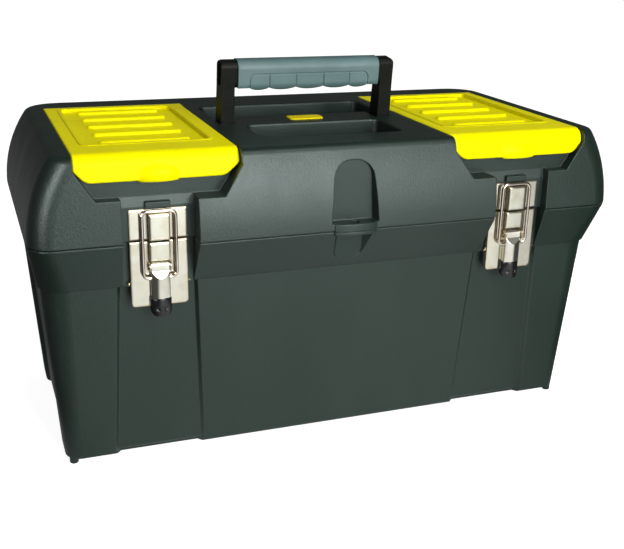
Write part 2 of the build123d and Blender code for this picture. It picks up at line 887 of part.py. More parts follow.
def grip_outline():
    """Grip seen from the front: straight top, finger lobes along the bottom."""
    top = handle_rise + grip_proud
    low = handle_rise - cap_height - grip_proud + lobe_sag / 2
    marks = lobe_marks()
    ends = [(cap_inner, low), (cap_inner, top), (-cap_inner, top), (-cap_inner, low)]
    edges = [Polyline((marks[-1], low), *ends, (marks[0], low))]
    for left, right in zip(marks, marks[1:]):
        edges.append(ThreePointArc((left, low), ((left + right) / 2, low - lobe_sag), (right, low)))
    return make_face(edges)


def grip_section(inset):
    """Outline of the grip across its length."""
    height = cap_height + 2 * grip_proud + lobe_sag - 2 * inset
    return RectangleRounded(grip_depth - 2 * inset, height, grip_round - inset)


def grip_grooves():
    """Fine outline around the finger lobes and the lines between them."""
    marks = lobe_marks()
    top = handle_rise - groove_drop
    low = top - 2 * cap_height
    outer = RectangleRounded(marks[-1] - marks[0] + groove_width, top - low, groove_turn)
    inner = RectangleRounded(marks[-1] - marks[0] - groove_width, top - low - 2 * groove_width, groove_turn)
    lines = Pos(0, (top + low) / 2) * (outer - inner)
    for mark in marks[1:-1]:
        lines += Pos(mark, (top + low) / 2) * Rectangle(groove_width, top - low)
    return front_prism(lines, -far, 0)


def handle_grip():
    """Soft sleeve around the handle's bar, with an outlined front."""
    place = Pos(0, grip_middle - lobe_sag / 2)
    sleeve = side_prism(place * grip_section(0), -cap_inner, cap_inner)
    skin = sleeve - side_prism(place * grip_section(groove_depth), -far, far)
    sleeve -= skin & grip_grooves()
    sleeve -= side_prism(Pos(0, grip_middle) * Rectangle(core_size, core_size), -far, far)
    return leaned(sleeve & front_prism(grip_outline(), -far, far))


def badge_plate():
    """Blank plate on the bridge between the deck recesses."""
    middle = (bridge_rear - bridge_front) / 2 + badge_thickness
    x = (-badge_length / 2, badge_length / 2)
    y = (middle - badge_depth / 2, middle + badge_depth / 2)
    return rounded_block(x, y, (deck_height, deck_height + badge_thickness), badge_depth / 4)


def pressed_hump(low, high, rise):
    """Hollow hump pressed forward out of a latch plate: its metal and its hollow."""
    half = tongue_width / 2
    front = plate_front + rise
    outer = block((-half, half), (-front, -latch_face), (low, high))
    outer = fillet(outer.faces().sort_by(Axis.Y)[0].edges(), sheet)
    inner = block((sheet - half, half - sheet), (sheet - front, far), (low + sheet, high - sheet))
    return outer, inner


def latch_plate(low, high):
    """Flat sheet of a latch plate."""
    half = plate_width / 2
    return block((-half, half), (-plate_front, -latch_face), (low, high))


def latch_keeper():
    """Plate on the lid with the hollow tongue that the bail pulls on."""
    hump, hollow = pressed_hump(keeper_base, tongue_top, tongue_rise)
    return latch_plate(keeper_base, keeper_top) + hump - hollow


def latch_base():
    """Plate on the tub with side returns, barbs, a hump and the lever's ears."""
    half = plate_width / 2
    plate = latch_plate(base_bottom, base_top)
    corners = [edge for edge in plate.edges().filter_by(Axis.Y) if edge.center().Z < lever_pivot_height]
    plate = fillet(corners, plate_corner)
    hump, hollow = pressed_hump(base_top - hump_height, base_top, hump_rise)
    plate += hump
    plate -= hollow
    lever_half = lever_width / 2
    ear_x = (lever_half + lever_gap, lever_half + lever_gap + sheet)
    ear_z = (lever_pivot_height - ear_radius, lever_pivot_height + ear_radius)
    ear = block(ear_x, (-lever_pivot_place, -latch_face), ear_z)
    ear += rod(ear_x, -lever_pivot_place, lever_pivot_height, ear_radius)
    side_y = (-plate_front, return_depth - latch_face)
    side = block((half - sheet, half), side_y, (base_bottom + plate_corner, base_top))
    barb = Polygon((half - sheet, 0), (half + barb_size, 0), (half - sheet, 2 * barb_size))
    barb = front_prism(Pos(0, base_bottom + barb_lift) * barb, -latch_face, sheet - latch_face)
    for piece in both_sides(ear) + both_sides(side) + both_sides(barb):
        plate += piece
    return plate - rod((-half, half), -lever_pivot_place, lever_pivot_height, lever_pin_radius + running_gap)


def latch_lever():
    """Channel-section lever with its pivot end, bail holes and the tang for its tip."""
    half = lever_width / 2
    back = plate_front + lever_gap
    middle = (back + lever_front) / 2
    outline = Pos(-lever_pivot_place, lever_pivot_height) * Circle(lever_end_radius)
    outline += Polygon(
        (-lever_front, lever_low),
        (-back, lever_low),
        (-back, lever_pivot_height),
        (-lever_front, lever_pivot_height),
    )
    lever = side_prism(outline, -half, half)
    lever -= block((sheet - half, half - sheet), (sheet - lever_front, far), (lever_low + sheet, above))
    tang_y = (-middle - sheet, sheet - middle)
    lever += block((-tang_width / 2, tang_width / 2), tang_y, (lever_low - tang_length, lever_low + sheet))
    lever -= rod((-half, half), -lever_pivot_place, lever_pivot_height, lever_pin_radius + running_gap)
    return lever - rod((-far, far), -bail_place, bail_attach_height, wire / 2 + running_gap)


def latch_tip():
    """Plastic tip on the lever's end."""
    back = plate_front + lever_gap
    middle = (back + lever_front) / 2
    half = tip_width / 2
    front = lever_front + sheet
    outline = Polygon((-half, tip_low), (half, tip_low), (half, lever_low), (-half, lever_low))
    outline = fillet(outline.vertices().sort_by(Axis.Y)[:2], tip_round)
    tip = front_prism(outline, -front, -back)
    tip = fillet(tip.faces().sort_by(Axis.Y)[0].edges(), sheet)
    room = running_gap
    slot_x = (-tang_width / 2 - room, tang_width / 2 + room)
    slot_y = (-middle - sheet - room, sheet + room - middle)
    return tip - block(slot_x, slot_y, (lever_low - tang_length - room, above))


def latch_bail():
    """Wire bail: over the tongue, down both sides and into the lever's side holes."""
    half = (bail_width - wire) / 2
    inner = lever_width / 2 - sheet
    path = FilletPolyline(
        (inner, -bail_place, bail_attach_height),
        (half, -bail_place, bail_attach_height),
        (half, -bail_place, bail_top),
        (-half, -bail_place, bail_top),
        (-half, -bail_place, bail_attach_height),
        (-inner, -bail_place, bail_attach_height),
        radius=bail_bend,
    )
    section = Plane(path @ 0, z_dir=path % 0) * Circle(wire / 2)
    return sweep(section, path=path)


def lever_pin():
    """Pin through a base plate's ears and its lever."""
    half = lever_width / 2 + lever_gap + sheet
    return rod((-half, half), -lever_pivot_place, lever_pivot_height, lever_pin_radius)


def tray_form(inset, bottom, top):
    """Tray body between two heights, following the tub's draft."""

    def outline(height):
        depth = tub_half_depth(height) - panel_relief - wall - tray_body_gap - inset
        length = tray_half_length - tray_rim_width - inset
        return Pos(0, 0, height) * RectangleRounded(2 * length, 2 * depth, tray_corner - inset)

    return loft([outline(bottom), outline(top)], ruled=True)


def tray():
    """Lift-out tray with a rim that rests on the tub's ledge, and a carrying handle down its middle."""
    rim_low = ledge_height + seat_gap
    rim_top = rim_low + tray_rim_thickness
    half = tray_half_length
    body = tray_form(0, tray_floor_height, rim_low)
    rim_reach = tub_pocket_face - wall - tray_side_gap
    rim_y = (-rim_reach, rim_reach)
    body += rounded_block((-half, half), rim_y, (rim_low, rim_top), tray_corner)
    body -= tray_form(tray_wall, tray_floor_height + tray_wall, rim_top)
    reach = half * tray_handle_share
    thick = tray_handle_thickness / 2
    inside = half - tray_rim_width - tray_wall / 2
    partition_y = (-tray_wall / 2, tray_wall / 2)
    partition = block((-inside, inside), partition_y, (tray_floor_height + tray_wall / 2, rim_low))
    blade = block((-reach, reach), (-thick, thick), (tray_floor_height + tray_wall / 2, tray_handle_top))
    top_edges = [edge for edge in blade.edges().filter_by(Axis.Y) if edge.center().Z > rim_top]
    blade = fillet(top_edges, tray_corner)
    window_top = tray_handle_top - tray_window_drop
    window_x = (tray_post - reach, reach - tray_post)
    window = block(window_x, (-far, far), (window_top - tray_window_height, window_top))
    window = fillet(window.edges().filter_by(Axis.Y), tray_wall / 2)
    return body + partition + (blade - window)


def build():
    """All pieces by node name."""
    right_cover = cover()
    pieces = {
        "tub": tub(),
        "lid_shell": lid_shell(),
        "cover_left": mirror(right_cover, about=Plane.YZ),
        "cover_right": right_cover,
        "handle_frame": handle_frame(),
        "handle_grip": handle_grip(),
        "badge_plate": badge_plate(),
        "tray": tray(),
    }
    latch = {
        "keeper": latch_keeper(),
        "base": latch_base(),
        "lever": latch_lever(),
        "tip": latch_tip(),
        "bail": latch_bail(),
        "pin": lever_pin(),
    }
    for side, sign in sides.items():
        pieces[f"hinge_pin_{side}"] = hinge_pin(sign)
        for name, shape in latch.items():
            pieces[f"latch_{side}_{name}"] = Pos(sign * latch_centre, 0, 0) * shape
    return pieces


os.makedirs("parts", exist_ok=True)
for node, piece in build().items():
    export_step(piece, f"parts/{node}.step")
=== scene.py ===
"""Looks of the tool case: finishes, sculpted latch pieces, floor, light and camera."""

import logging
import math
from dataclasses import dataclass
from enum import Enum
from functools import reduce
from typing import Any, Callable, Union

import bpy
from mathutils import Matrix, Vector

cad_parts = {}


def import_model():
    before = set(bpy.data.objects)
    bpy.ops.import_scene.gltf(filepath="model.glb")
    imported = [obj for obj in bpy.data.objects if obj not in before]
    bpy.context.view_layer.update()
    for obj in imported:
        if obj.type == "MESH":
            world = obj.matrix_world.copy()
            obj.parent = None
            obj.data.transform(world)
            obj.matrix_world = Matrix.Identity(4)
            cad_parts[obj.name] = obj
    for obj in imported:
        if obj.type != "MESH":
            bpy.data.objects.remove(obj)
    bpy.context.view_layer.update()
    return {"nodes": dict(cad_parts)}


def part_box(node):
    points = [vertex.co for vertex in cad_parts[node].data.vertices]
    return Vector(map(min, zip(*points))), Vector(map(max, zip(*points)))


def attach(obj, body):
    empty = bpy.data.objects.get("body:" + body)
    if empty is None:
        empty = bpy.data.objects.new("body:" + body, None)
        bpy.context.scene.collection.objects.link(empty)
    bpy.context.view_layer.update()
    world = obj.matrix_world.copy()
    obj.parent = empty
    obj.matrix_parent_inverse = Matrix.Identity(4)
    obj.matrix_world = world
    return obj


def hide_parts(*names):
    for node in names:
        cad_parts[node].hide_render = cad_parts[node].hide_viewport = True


LOG = logging.getLogger("tool_case")
Triple = tuple[float, float, float]
Colour = Triple
Band = tuple[float, float]
Operand = Union["Value", float]

WHITE: Colour = (1.0, 1.0, 1.0)
BLACK: Colour = (0.0, 0.0, 0.0)
UNIT: Triple = (1.0, 1.0, 1.0)
FULL: Band = (0.0, 1.0)


class Slot(Enum):
    """Material slots of the part, as the record names them."""

    BODY = "body_plastic"
    TRAY = "tray_plastic"
    COVER = "cover_yellow"
    BADGE = "badge_yellow"
    HANDLE = "handle_plastic"
    GRIP = "grip_rubber"
    PLATE = "latch_plate"
    LEVER = "latch_lever"
    BAIL = "bail_wire"
    PIN = "pin_steel"
    TIP = "tip_plastic"


class Side(Enum):
    """The two ends of the case."""

    LEFT = "left"
    RIGHT = "right"


class Value:
    """A number that changes over a surface; arithmetic on it adds Math nodes."""

    def __init__(self, board: "NodeBoard", socket: bpy.types.NodeSocket) -> None:
        """Wraps one output socket of a board."""
        self.board = board
        self.socket = socket

    def math(self, operation: str, first: Operand, second: Operand) -> "Value":
        """One Math node on two operands."""
        return self.board.node("ShaderNodeMath", {"operation": operation}, {0: first, 1: second})

    def __add__(self, other: Operand) -> "Value":
        """Sum."""
        return self.math("ADD", self, other)

    def __radd__(self, other: Operand) -> "Value":
        """Sum with a number first."""
        return self.math("ADD", other, self)

    def __sub__(self, other: Operand) -> "Value":
        """Difference."""
        return self.math("SUBTRACT", self, other)

    def __rsub__(self, other: Operand) -> "Value":
        """Difference with a number first."""
        return self.math("SUBTRACT", other, self)

    def __mul__(self, other: Operand) -> "Value":
        """Product."""
        return self.math("MULTIPLY", self, other)

    def __rmul__(self, other: Operand) -> "Value":
        """Product with a number first."""
        return self.math("MULTIPLY", other, self)

    def at_most(self, other: Operand) -> "Value":
        """The smaller of two."""
        return self.math("MINIMUM", self, other)

    def at_least(self, other: Operand) -> "Value":
        """The larger of two."""
        return self.math("MAXIMUM", self, other)


class NodeBoard:
    """The node tree of one material or world, with one method that adds any node."""

    BEVEL_SAMPLES = 6
    CORNER_SAMPLES = 8
    CORNER_BAND: Band = (0.35, 0.95)

    def __init__(self, owner: Union[bpy.types.Material, bpy.types.World]) -> None:
        """Clears the owner's tree.

        Args:
            owner: Material or world that the nodes belong to.
        """
        owner.use_nodes = True
        self.owner = owner
        self.tree = owner.node_tree
        self.tree.nodes.clear()

    def node(
        self,
        kind: str,
        settings: dict[str, Any],
        inputs: dict[Union[int, str], Any],
        output: Union[int, str] = 0,
    ) -> Value:
        """Adds a node.

        Args:
            kind: Blender's type name of the node.
            settings: Attributes, set first.
            inputs: Value or link of each socket, by place or name.
            output: Which output socket to return.

        Returns:
            That output.
        """
        made = self.tree.nodes.new(kind)
        for name, setting in settings.items():
            setattr(made, name, setting)
        for key, given in inputs.items():
            socket = made.inputs[key]
            if isinstance(given, Value):
                self.tree.links.new(given.socket, socket)
            else:
                socket.default_value = given
        return Value(self, made.outputs[output])

    def place(self, stretch: Triple = UNIT) -> Value:
        """Object coordinates, stretched along each axis."""
        there = self.node("ShaderNodeTexCoord", {}, {}, "Object")
        return self.node("ShaderNodeMapping", {}, {"Vector": there, "Scale": stretch})

    def noise(self, size: float, detail: float, stretch: Triple = UNIT) -> Value:
        """Noise whose blotches are about this many metres across."""
        inputs = {"Vector": self.place(stretch), "Scale": 1.0 / size, "Detail": detail}
        return self.node("ShaderNodeTexNoise", {}, inputs, "Fac")

    def spread(self, value: Value, band: Band, onto: Band = FULL) -> Value:
        """Maps one band of values onto another, clamped."""
        inputs = {"Value": value, "From Min": band[0], "From Max": band[1]}
        inputs.update({"To Min": onto[0], "To Max": onto[1]})
        return self.node("ShaderNodeMapRange", {}, inputs)

    def blend(
        self, share: Value, first: Union[Value, Colour], second: Union[Value, Colour]
    ) -> Value:
        """Mixes two colours."""
        ends = [end if isinstance(end, Value) else (*end, 1.0) for end in (first, second)]
        inputs = {0: share, 6: ends[0], 7: ends[1]}
        return self.node("ShaderNodeMix", {"data_type": "RGBA"}, inputs, 2)

    def rounded(self, radius: float) -> Value:
        """Normal that rounds off every edge by a radius in metres."""
        return self.node("ShaderNodeBevel", {"samples": self.BEVEL_SAMPLES}, {"Radius": radius})

    def edges(self, rounded: Value, reach: float) -> Value:
        """Mask of the edges that a rounded normal turns, 1 on the edge itself."""
        flat = self.node("ShaderNodeNewGeometry", {}, {}, "Normal")
        return self.spread(1.0 - self.dot(rounded, flat), (0.0, reach))

    def dot(self, first: Value, second: Union[Value, Triple]) -> Value:
        """Dot product of two vectors."""
        settings = {"operation": "DOT_PRODUCT"}
        return self.node("ShaderNodeVectorMath", settings, {0: first, 1: second}, "Value")

    def corners(self, reach: float) -> Value:
        """Mask of a piece's inside corners from ambient occlusion, 1 where they are closest; it
        places painted shade.
        """
        settings = {"samples": self.CORNER_SAMPLES, "only_local": True}
        share = self.node("ShaderNodeAmbientOcclusion", settings, {"Distance": reach}, "AO")
        return self.spread(share, self.CORNER_BAND, (1.0, 0.0))

    def bump(self, height: Value, depth: float, normal: Value) -> Value:
        """Bumps of a depth in metres on top of a normal."""
        inputs = {"Height": height, "Distance": depth, "Strength": 1.0, "Normal": normal}
        return self.node("ShaderNodeBump", {}, inputs)

    def surface(self, inputs: dict[str, Any]) -> bpy.types.Material:
        """Ends a material in one principled shader.

        Args:
            inputs: Its sockets' values and links.

        Returns:
            The material.
        """
        shader = self.node("ShaderNodeBsdfPrincipled", {}, inputs)
        self.close("ShaderNodeOutputMaterial", shader)
        return self.owner

    def close(self, kind: str, shader: Value) -> None:
        """Links a shader to the tree's output node of this kind."""
        end = self.tree.nodes.new(kind)
        self.tree.links.new(shader.socket, end.inputs["Surface"])


@dataclass(frozen=True)
class MouldedPlastic:
    """Moulded plastic: fine spark-eroded grain, faint flow streaks and rubbed edges."""

    colour: Colour
    pale: Colour
    worn: Colour
    roughness: float
    specular: float
    grain_size: float
    grain_depth: float
    edge_radius: float
    wear: float = 0.5
    sheen: Colour = WHITE
    grain_rough: float = 0.2
    flow_size: float = 0.05
    flow_stretch: Triple = (1.0, 1.0, 0.35)
    flow_band: Band = (0.3, 0.7)
    flow_rough: float = 0.05
    cloud_band: Band = (0.35, 0.68)
    rub_size: float = 0.006
    rub_band: Band = (0.38, 0.62)
    rub_onto: Band = (0.15, 1.0)
    edge_reach: float = 0.12
    edge_polish: float = 0.08

    def material(self, name: str) -> bpy.types.Material:
        """Makes the finish under a name."""
        board = NodeBoard(bpy.data.materials.new(name))
        rounded = board.rounded(self.edge_radius)
        grain = board.noise(self.grain_size, detail=3.0)
        flow = board.noise(self.flow_size, detail=3.0, stretch=self.flow_stretch)
        cloud = board.spread(flow, self.cloud_band)
        rub = board.spread(board.noise(self.rub_size, detail=4.0), self.rub_band, self.rub_onto)
        edge = board.edges(rounded, self.edge_reach) * rub * self.wear
        plain = board.blend(cloud, self.colour, self.pale)
        rough_band = (self.roughness - self.flow_rough, self.roughness + self.flow_rough)
        rough = board.spread(flow, self.flow_band, rough_band)
        rough = rough + (grain - 0.5) * self.grain_rough - edge * self.edge_polish
        return board.surface(
            {
                "Base Color": board.blend(edge, plain, self.worn),
                "Roughness": rough,
                "Normal": board.bump(grain, self.grain_depth, rounded),
                "Specular IOR Level": self.specular,
                "Specular Tint": (*self.sheen, 1.0),
            }
        )


@dataclass(frozen=True)
class PlatedMetal:
    """Bright plating over pressed sheet: soft waves, draw lines, brassy edges, painted shade in the
    corners.
    """

    colour: Colour
    warm: Colour
    roughness: float
    wave_depth: float
    edge_radius: float
    line_stretch: Triple = (1.0, 1.0, 0.06)
    line_size: float = 0.0006
    line_rough: float = 0.1
    line_height: float = 0.05
    wave_size: float = 0.009
    stain_size: float = 0.012
    stain_band: Band = (0.42, 0.7)
    stain_rough: float = 0.06
    brass: Colour = (0.5, 0.26, 0.03)
    brass_reach: float = 0.2
    brass_share: float = 0.8
    # Painted shade: this dark brown goes into the inside corners that ambient occlusion finds, and
    # the metal is rougher there.
    painted_shade: Colour = (0.13, 0.09, 0.05)
    painted_shade_reach: float = 0.004
    painted_shade_rough: float = 0.15

    def material(self, name: str) -> bpy.types.Material:
        """Makes the finish under a name."""
        board = NodeBoard(bpy.data.materials.new(name))
        rounded = board.rounded(self.edge_radius)
        lines = board.noise(self.line_size, detail=2.0, stretch=self.line_stretch)
        wave = board.noise(self.wave_size, detail=1.0)
        stain = board.spread(board.noise(self.stain_size, detail=3.0), self.stain_band)
        edge = board.edges(rounded, self.brass_reach) * self.brass_share
        # Painted shade in the inside corners, from ambient occlusion.
        painted_shade = board.corners(self.painted_shade_reach)
        plain = board.blend(stain, self.colour, self.warm)
        rough = self.roughness + (lines - 0.5) * self.line_rough
        rough = rough + stain * self.stain_rough + painted_shade * self.painted_shade_rough
        height = wave + lines * self.line_height
        return board.surface(
            {
                # Base colour with brassy edges, darkened by the painted shade in the corners.
                "Base Color": board.blend(painted_shade, board.blend(edge, plain, self.brass), self.painted_shade),
                "Metallic": 1.0,
                "Roughness": rough,
                "Normal": board.bump(height, self.wave_depth, rounded),
            }
        )


@dataclass(frozen=True)
class SoftRubber:
    """Soft grip rubber: even stipple, a dry bloom and paler handled edges."""

    colour: Colour
    bloom: Colour
    roughness: float
    stipple_size: float
    stipple_depth: float
    edge_radius: float
    stipple_rough: float = 0.2
    bloom_size: float = 0.03
    bloom_band: Band = (0.35, 0.7)
    bloom_share: float = 0.7
    bloom_polish: float = 0.08
    edge_reach: float = 0.15
    edge_share: float = 0.5

    def material(self, name: str) -> bpy.types.Material:
        """Makes the finish under a name."""
        board = NodeBoard(bpy.data.materials.new(name))
        rounded = board.rounded(self.edge_radius)
        stipple = board.noise(self.stipple_size, detail=1.0)
        cloud = board.spread(board.noise(self.bloom_size, detail=3.0), self.bloom_band)
        edge = board.edges(rounded, self.edge_reach) * self.edge_share
        share = (cloud * self.bloom_share + edge).at_most(1.0)
        rough = self.roughness + (stipple - 0.5) * self.stipple_rough - cloud * self.bloom_polish
        return board.surface(
            {
                "Base Color": board.blend(share, self.colour, self.bloom),
                "Roughness": rough,
                "Normal": board.bump(stipple, self.stipple_depth, rounded),
            }
        )


Finish = Union[MouldedPlastic, PlatedMetal, SoftRubber]

FINISHES: dict[Slot, Finish] = {
    Slot.BODY: MouldedPlastic(
        colour=(0.0058, 0.0148, 0.0095),
        pale=(0.0075, 0.0175, 0.012),
        worn=(0.045, 0.062, 0.055),
        roughness=0.41,
        specular=0.52,
        grain_size=0.0014,
        grain_depth=0.00015,
        edge_radius=0.0014,
        sheen=(0.87, 1.0, 0.98),
    ),
    Slot.TRAY: MouldedPlastic(
        colour=(0.015, 0.021, 0.022),
        pale=(0.02, 0.027, 0.028),
        worn=(0.05, 0.06, 0.06),
        roughness=0.5,
        specular=0.26,
        grain_size=0.0007,
        grain_depth=0.00004,
        edge_radius=0.0012,
    ),
    Slot.COVER: MouldedPlastic(
        colour=(0.88, 0.8, 0.0),
        pale=(0.91, 0.84, 0.0),
        worn=(0.93, 0.88, 0.03),
        roughness=0.32,
        specular=0.03,
        grain_size=0.0008,
        grain_depth=0.000015,
        edge_radius=0.0016,
        wear=0.25,
    ),
    Slot.BADGE: MouldedPlastic(
        colour=(0.84, 0.69, 0.0),
        pale=(0.87, 0.73, 0.002),
        worn=(0.92, 0.82, 0.1),
        roughness=0.42,
        specular=0.07,
        grain_size=0.0008,
        grain_depth=0.00001,
        edge_radius=0.0004,
        wear=0.25,
    ),
    Slot.HANDLE: MouldedPlastic(
        colour=(0.0045, 0.0055, 0.0038),
        pale=(0.0065, 0.0075, 0.0055),
        worn=(0.03, 0.034, 0.03),
        roughness=0.44,
        specular=0.1,
        grain_size=0.0008,
        grain_depth=0.00006,
        edge_radius=0.0012,
    ),
    Slot.TIP: MouldedPlastic(
        colour=(0.006, 0.006, 0.007),
        pale=(0.008, 0.008, 0.009),
        worn=(0.03, 0.03, 0.03),
        roughness=0.2,
        specular=0.5,
        grain_size=0.0005,
        grain_depth=0.00001,
        edge_radius=0.0012,
        wear=0.3,
    ),
    Slot.GRIP: SoftRubber(
        colour=(0.083, 0.15, 0.152),
        bloom=(0.122, 0.204, 0.207),
        roughness=0.52,
        stipple_size=0.0007,
        stipple_depth=0.00005,
        edge_radius=0.001,
    ),
    Slot.PLATE: PlatedMetal(
        colour=(0.72, 0.71, 0.6),
        warm=(0.65, 0.62, 0.49),
        roughness=0.13,
        wave_depth=0.00006,
        edge_radius=0.002,
    ),
    Slot.LEVER: PlatedMetal(
        colour=(0.7, 0.69, 0.61),
        warm=(0.62, 0.59, 0.49),
        roughness=0.12,
        wave_depth=0.00004,
        edge_radius=0.0005,
    ),
    Slot.BAIL: PlatedMetal(
        colour=(0.62, 0.55, 0.49),
        warm=(0.5, 0.41, 0.34),
        roughness=0.14,
        wave_depth=0.00003,
        edge_radius=0.0002,
    ),
    Slot.PIN: PlatedMetal(
        colour=(0.56, 0.56, 0.55),
        warm=(0.48, 0.46, 0.43),
        roughness=0.3,
        wave_depth=0.00004,
        edge_radius=0.0003,
        line_stretch=(0.06, 1.0, 1.0),
    ),
}

NODE_SLOTS: dict[str, Slot] = {
    "tub": Slot.BODY,
    "lid_shell": Slot.BODY,
    "tray": Slot.TRAY,
    "cover_left": Slot.COVER,
    "cover_right": Slot.COVER,
    "badge_plate": Slot.BADGE,
    "handle_frame": Slot.HANDLE,
    "handle_grip": Slot.GRIP,
    "hinge_pin_left": Slot.PIN,
    "hinge_pin_right": Slot.PIN,
}
LATCH_SLOTS: dict[str, Slot] = {
    "keeper": Slot.PLATE,
    "base": Slot.PLATE,
    "lever": Slot.LEVER,
    "tip": Slot.TIP,
    "bail": Slot.BAIL,
    "pin": Slot.PIN,
}


class Wardrobe:
    """The finishes, each made once, and the dressing of what wears them."""

    def __init__(self) -> None:
        """Makes every finish."""
        self.materials = {slot: finish.material(slot.value) for slot, finish in FINISHES.items()}

    def dress(self, piece: bpy.types.Object, slot: Slot) -> None:
        """Puts one finish on all of a piece.

        Args:
            piece: CAD node or new piece.
            slot: Material slot whose finish it wears.
        """
        if not piece.material_slots:
            piece.data.materials.append(self.materials[slot])
        for worn in piece.material_slots:
            worn.material = self.materials[slot]

    def dress_frame(self, nodes: dict[str, bpy.types.Object]) -> None:
        """Dresses every CAD node.

        Args:
            nodes: The frame's nodes by name.
        """
        slots = dict(NODE_SLOTS)
        for side in Side:
            slots.update({f"latch_{side.value}_{n}": slot for n, slot in LATCH_SLOTS.items()})
        for name, node in nodes.items():
            self.dress(node, slots[name])
            LOG.info("%s wears %s", name, slots[name].value)


class Bench:
    """Modelling by hand: primitives shaped in edit mode and finished with applied modifiers."""

    COLUMN_SIDES = 96
    BALL_SIDES = 32
    BALL_RINGS = 16
    EDGE_STEPS = 3
    EDGE_ANGLE = 30.0
    FLAT = 0.99
    HAIR = 1e-6

    @staticmethod
    def activate(piece: bpy.types.Object) -> None:
        """Leaves only this piece selected."""
        bpy.ops.object.select_all(action="DESELECT")
        piece.select_set(True)
        bpy.context.view_layer.objects.active = piece

    @classmethod
    def settle(cls, name: str, scale: Union[Vector, Triple] = UNIT) -> bpy.types.Object:
        """Names a new primitive and puts its place and size into its mesh.

        Args:
            name: Piece name.
            scale: Size along each axis.

        Returns:
            The piece.
        """
        piece = bpy.context.object
        piece.name = name
        piece.data.name = name
        piece.scale = scale
        cls.activate(piece)
        bpy.ops.object.transform_apply(location=True, rotation=True, scale=True)
        return piece

    @classmethod
    def block(cls, name: str, low: Vector, high: Vector) -> bpy.types.Object:
        """Box between two corners."""
        bpy.ops.object.select_all(action="DESELECT")
        bpy.ops.mesh.primitive_cube_add(size=1.0, location=(low + high) / 2)
        return cls.settle(name, high - low)

    @classmethod
    def column(cls, name: str, foot: Vector, radius: float, height: float) -> bpy.types.Object:
        """Upright cylinder on a foot point."""
        bpy.ops.object.select_all(action="DESELECT")
        middle = foot + Vector((0.0, 0.0, height / 2))
        bpy.ops.mesh.primitive_cylinder_add(
            vertices=cls.COLUMN_SIDES, radius=radius, depth=height, location=middle
        )
        return cls.settle(name)

    @classmethod
    def ball(cls, name: str, middle: Vector, radius: float) -> bpy.types.Object:
        """Round cutter for a dimple."""
        bpy.ops.object.select_all(action="DESELECT")
        bpy.ops.mesh.primitive_uv_sphere_add(
            segments=cls.BALL_SIDES, ring_count=cls.BALL_RINGS, radius=radius, location=middle
        )
        return cls.settle(name)

    @classmethod
    def unpick(cls, piece: bpy.types.Object, kind: str) -> None:
        """Leaves nothing of a piece's mesh selected, ready for picking edges or faces.

        Args:
            piece: What is picked from.
            kind: EDGE or FACE.
        """
        cls.activate(piece)
        bpy.ops.object.mode_set(mode="EDIT")
        bpy.ops.mesh.select_all(action="DESELECT")
        bpy.ops.mesh.select_mode(type=kind)
        bpy.ops.object.mode_set(mode="OBJECT")

    @classmethod
    def cut(cls, piece: bpy.types.Object, point: Vector, normal: Vector) -> None:
        """Cuts away what lies on the normal's side of a plane and closes the cut.

        Args:
            piece: What is cut.
            point: A point of the plane.
            normal: The plane's normal, towards what goes.
        """
        cls.activate(piece)
        bpy.ops.object.mode_set(mode="EDIT")
        bpy.ops.mesh.select_all(action="SELECT")
        bpy.ops.mesh.bisect(plane_co=point, plane_no=normal, use_fill=True, clear_outer=True)
        bpy.ops.object.mode_set(mode="OBJECT")

    @classmethod
    def round_edges(
        cls,
        piece: bpy.types.Object,
        test: Callable[[Vector, Vector], bool],
        radius: float,
        steps: int,
    ) -> None:
        """Bevels the edges that a test picks.

        Args:
            piece: What is bevelled.
            test: Takes an edge's two ends.
            radius: Bevel width.
            steps: Segments of the rounding.
        """
        cls.unpick(piece, "EDGE")
        corners = piece.data.vertices
        for edge in piece.data.edges:
            ends = [corners[index].co for index in edge.vertices]
            edge.select = test(*ends)
        bpy.ops.object.mode_set(mode="EDIT")
        bpy.ops.mesh.bevel(offset=radius, segments=steps, affect="EDGES")
        bpy.ops.object.mode_set(mode="OBJECT")

    @classmethod
    def hollow(cls, piece: bpy.types.Object, wall: float, depth: float) -> None:
        """Sinks the back face inside a wall, as in pressed sheet.

        Args:
            piece: What is hollowed from its +Y side.
            wall: Width of the border that stays.
            depth: How far the rest goes in.
        """
        cls.unpick(piece, "FACE")
        back = max(vertex.co.y for vertex in piece.data.vertices)
        for face in piece.data.polygons:
            face.select = face.normal.y > cls.FLAT and face.center.y > back - cls.HAIR
        bpy.ops.object.mode_set(mode="EDIT")
        bpy.ops.mesh.inset(thickness=wall)
        bpy.ops.mesh.extrude_region_move(TRANSFORM_OT_translate={"value": (0.0, -depth, 0.0)})
        bpy.ops.object.mode_set(mode="OBJECT")

    @classmethod
    def modify(cls, piece: bpy.types.Object, kind: str, settings: dict[str, Any]) -> None:
        """Adds a modifier and applies it.

        Args:
            piece: What is modified.
            kind: Blender's type name of the modifier.
            settings: Its attributes.
        """
        cls.activate(piece)
        modifier = piece.modifiers.new(kind.lower(), kind)
        for name, setting in settings.items():
            setattr(modifier, name, setting)
        bpy.ops.object.modifier_apply(modifier=modifier.name)

    @classmethod
    def combine(cls, piece: bpy.types.Object, tool: bpy.types.Object, operation: str) -> None:
        """Boolean of a piece with a tool, which is used up.

        Args:
            piece: What stays.
            tool: What is added or taken away.
            operation: Blender's name of the operation.
        """
        cls.modify(piece, "BOOLEAN", {"operation": operation, "solver": "EXACT", "object": tool})
        bpy.data.objects.remove(tool)

    @classmethod
    def finish(cls, piece: bpy.types.Object, radius: float) -> None:
        """Bevels the sharp edges of a piece by a radius and shades the rest smooth."""
        limit = {"limit_method": "ANGLE", "angle_limit": math.radians(cls.EDGE_ANGLE)}
        cls.modify(piece, "BEVEL", {"width": radius, "segments": cls.EDGE_STEPS, **limit})
        cls.shade(piece, cls.EDGE_ANGLE)

